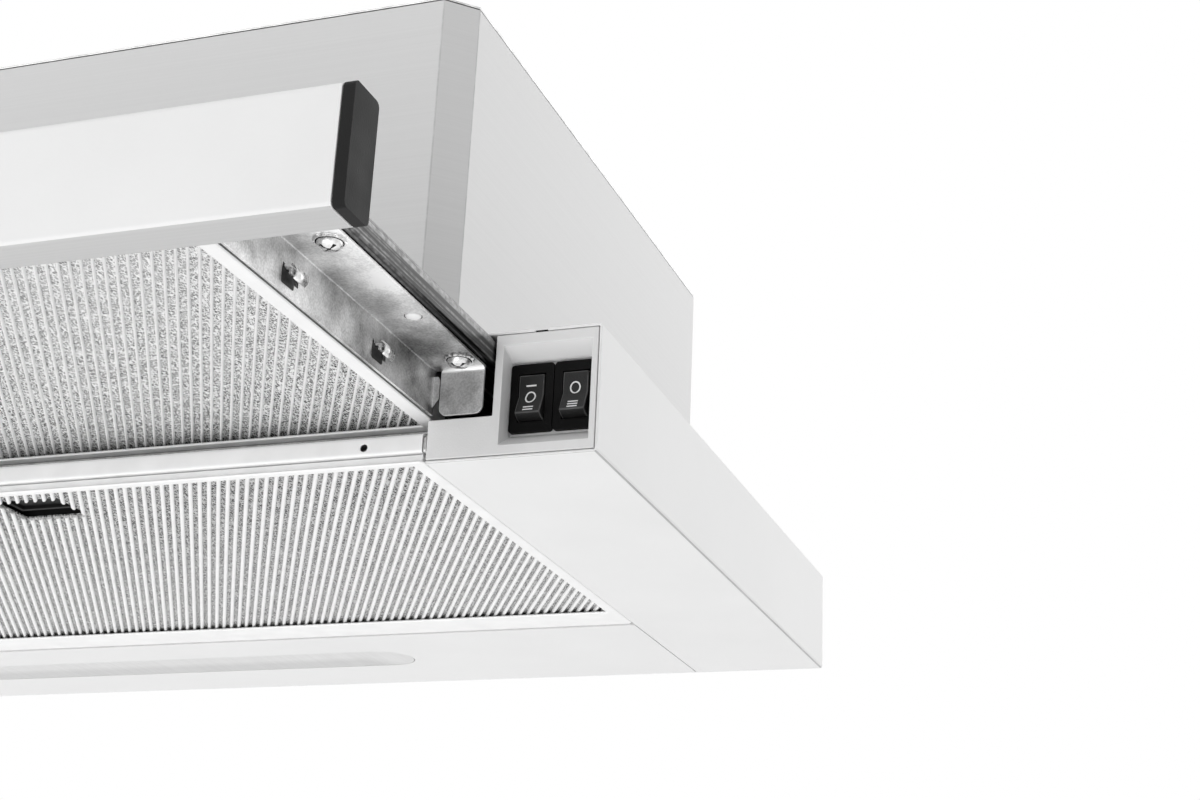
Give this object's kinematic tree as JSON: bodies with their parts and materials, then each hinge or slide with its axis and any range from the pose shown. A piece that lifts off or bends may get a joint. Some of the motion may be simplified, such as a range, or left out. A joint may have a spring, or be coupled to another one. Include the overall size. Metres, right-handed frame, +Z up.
{
  "type": "pull out range hood",
  "caption": "Pull-out kitchen extractor hood with a drawer on ball slides, mesh filters, rocker switches, strip lamp, blower and duct collar.",
  "frame": {"origin": "centre of the footprint, drawer pulled out, on the plane of the underside", "axes": "+X to the right seen from the front, +Y to the wall behind, +Z up"},
  "size_m": [0.598, 0.4424, 0.1906],
  "materials": {
    "white_paint": "semi-gloss white enamel",
    "body_paint": "satin off-white enamel",
    "grey_plastic": "light grey moulding, fine grain",
    "switch_black": "satin black",
    "trim_black": "matt black",
    "galvanised": "galvanised sheet with spangle",
    "slide_steel": "zinc-plated, light oil film",
    "filter_aluminium": "bright satin aluminium",
    "frosted_lens": "frosted translucent",
    "lamp_board": "white solder mask",
    "blower_plastic": "dark grey moulding",
    "motor_steel": "plain steel can"
  },
  "bodies": {
    "hood_base": {"base_shell": "white_paint", "rear_underside_panel": "white_paint", "lamp_housing": "white_paint", "front_cross_bar": "white_paint", "electronics_box": "white_paint", "upper_shell": "body_paint", "front_corner_right": "grey_plastic", "front_corner_left": "grey_plastic", "switch_housing_fan": "switch_black", "switch_housing_lamp": "switch_black", "bottom_latch_housing_right": "trim_black", "bottom_latch_housing_left": "trim_black", "cable_gland": "trim_black", "bar_clip_right": "galvanised", "bar_clip_left": "galvanised", "top_lid": "galvanised", "motor_spider": "galvanised", "slide_fixed_channel_right": "slide_steel", "slide_fixed_channel_left": "slide_steel", "bottom_filter_frame": "filter_aluminium", "bottom_filter_pack": "filter_aluminium", "lamp_lens": "frosted_lens", "led_board": "lamp_board", "duct_collar": "blower_plastic", "blower_scroll": "blower_plastic", "blower_motor": "motor_steel", "motor_capacitor": "motor_steel"},
    "drawer": {"fascia_profile": "white_paint", "fascia_end_cap_right": "trim_black", "fascia_end_cap_left": "trim_black", "drawer_cross_member": "galvanised", "drawer_side_rail_right": "galvanised", "drawer_side_rail_left": "galvanised", "drawer_visor_plate": "galvanised", "drawer_rear_bar": "galvanised", "drawer_filter_frame": "filter_aluminium", "drawer_filter_pack": "filter_aluminium", "drawer_latch_housing_right": "trim_black", "drawer_latch_housing_left": "trim_black", "slide_drawer_channel_right": "slide_steel", "slide_drawer_channel_left": "slide_steel"},
    "rocker_fan": {"rocker_fan": "switch_black"},
    "rocker_lamp": {"rocker_lamp": "switch_black"},
    "impeller": {"blower_impeller": "blower_plastic"},
    "flap_rear": {"return_flap_rear": "blower_plastic"},
    "flap_front": {"return_flap_front": "blower_plastic"},
    "middle_channel_right": {"slide_middle_channel_right": "slide_steel"},
    "lower_cage_right": {"slide_lower_cage_right": "slide_steel"},
    "upper_cage_right": {"slide_upper_cage_right": "slide_steel"},
    "bottom_latch_right": {"bottom_latch_slider_right": "trim_black"},
    "drawer_latch_right": {"drawer_latch_slider_right": "trim_black"},
    "middle_channel_left": {"slide_middle_channel_left": "slide_steel"},
    "lower_cage_left": {"slide_lower_cage_left": "slide_steel"},
    "upper_cage_left": {"slide_upper_cage_left": "slide_steel"},
    "bottom_latch_left": {"bottom_latch_slider_left": "trim_black"},
    "drawer_latch_left": {"drawer_latch_slider_left": "trim_black"}
  },
  "joints": [
    {"name": "drawer_slide", "type": "slide", "parent": "hood_base", "child": "drawer", "axis": [0, -1, 0], "range_m": [-0.15, 0]},
    {"name": "middle_channel_right_slide", "type": "slide", "parent": "hood_base", "child": "middle_channel_right", "axis": [0, -1, 0], "range_m": [-0.075, 0]},
    {"name": "lower_cage_right_slide", "type": "slide", "parent": "hood_base", "child": "lower_cage_right", "axis": [0, -1, 0], "range_m": [-0.1125, 0]},
    {"name": "upper_cage_right_slide", "type": "slide", "parent": "hood_base", "child": "upper_cage_right", "axis": [0, -1, 0], "range_m": [-0.0375, 0]},
    {"name": "middle_channel_left_slide", "type": "slide", "parent": "hood_base", "child": "middle_channel_left", "axis": [0, -1, 0], "range_m": [-0.075, 0]},
    {"name": "lower_cage_left_slide", "type": "slide", "parent": "hood_base", "child": "lower_cage_left", "axis": [0, -1, 0], "range_m": [-0.1125, 0]},
    {"name": "upper_cage_left_slide", "type": "slide", "parent": "hood_base", "child": "upper_cage_left", "axis": [0, -1, 0], "range_m": [-0.0375, 0]},
    {"name": "rocker_fan_tilt", "type": "hinge", "parent": "hood_base", "child": "rocker_fan", "pos_m": [0.275, -0.05055, 0.0208], "axis": [1, 0, 0], "range_deg": [0, 24]},
    {"name": "rocker_lamp_tilt", "type": "hinge", "parent": "hood_base", "child": "rocker_lamp", "pos_m": [0.289, -0.05055, 0.0208], "axis": [1, 0, 0], "range_deg": [0, 24]},
    {"name": "bottom_latch_right_slide", "type": "slide", "parent": "hood_base", "child": "bottom_latch_right", "axis": [0, 1, 0], "range_m": [0, 0.005], "stiffness_N_per_m": 200, "springref_m": -0.006},
    {"name": "drawer_latch_right_slide", "type": "slide", "parent": "drawer", "child": "drawer_latch_right", "axis": [0, 1, 0], "range_m": [0, 0.005], "stiffness_N_per_m": 200, "springref_m": -0.006},
    {"name": "bottom_latch_left_slide", "type": "slide", "parent": "hood_base", "child": "bottom_latch_left", "axis": [0, 1, 0], "range_m": [0, 0.005], "stiffness_N_per_m": 200, "springref_m": -0.006},
    {"name": "drawer_latch_left_slide", "type": "slide", "parent": "drawer", "child": "drawer_latch_left", "axis": [0, 1, 0], "range_m": [0, 0.005], "stiffness_N_per_m": 200, "springref_m": -0.006},
    {"name": "impeller_spin", "type": "hinge", "parent": "hood_base", "child": "impeller", "pos_m": [0, 0.05625, 0.098], "axis": [1, 0, 0], "continuous": true},
    {"name": "flap_rear_swing", "type": "hinge", "parent": "hood_base", "child": "flap_rear", "pos_m": [0, 0.08295, 0.1706], "axis": [1, 0, 0], "range_deg": [0, 80]},
    {"name": "flap_front_swing", "type": "hinge", "parent": "hood_base", "child": "flap_front", "pos_m": [0, 0.07955, 0.1706], "axis": [-1, 0, 0], "range_deg": [0, 80]}
  ],
  "couplings": [
    {"joint": "middle_channel_right_slide", "follows": "drawer_slide", "ratio": 0.5},
    {"joint": "lower_cage_right_slide", "follows": "drawer_slide", "ratio": 0.75},
    {"joint": "upper_cage_right_slide", "follows": "drawer_slide", "ratio": 0.25},
    {"joint": "middle_channel_left_slide", "follows": "drawer_slide", "ratio": 0.5},
    {"joint": "lower_cage_left_slide", "follows": "drawer_slide", "ratio": 0.75},
    {"joint": "upper_cage_left_slide", "follows": "drawer_slide", "ratio": 0.25}
  ]
}
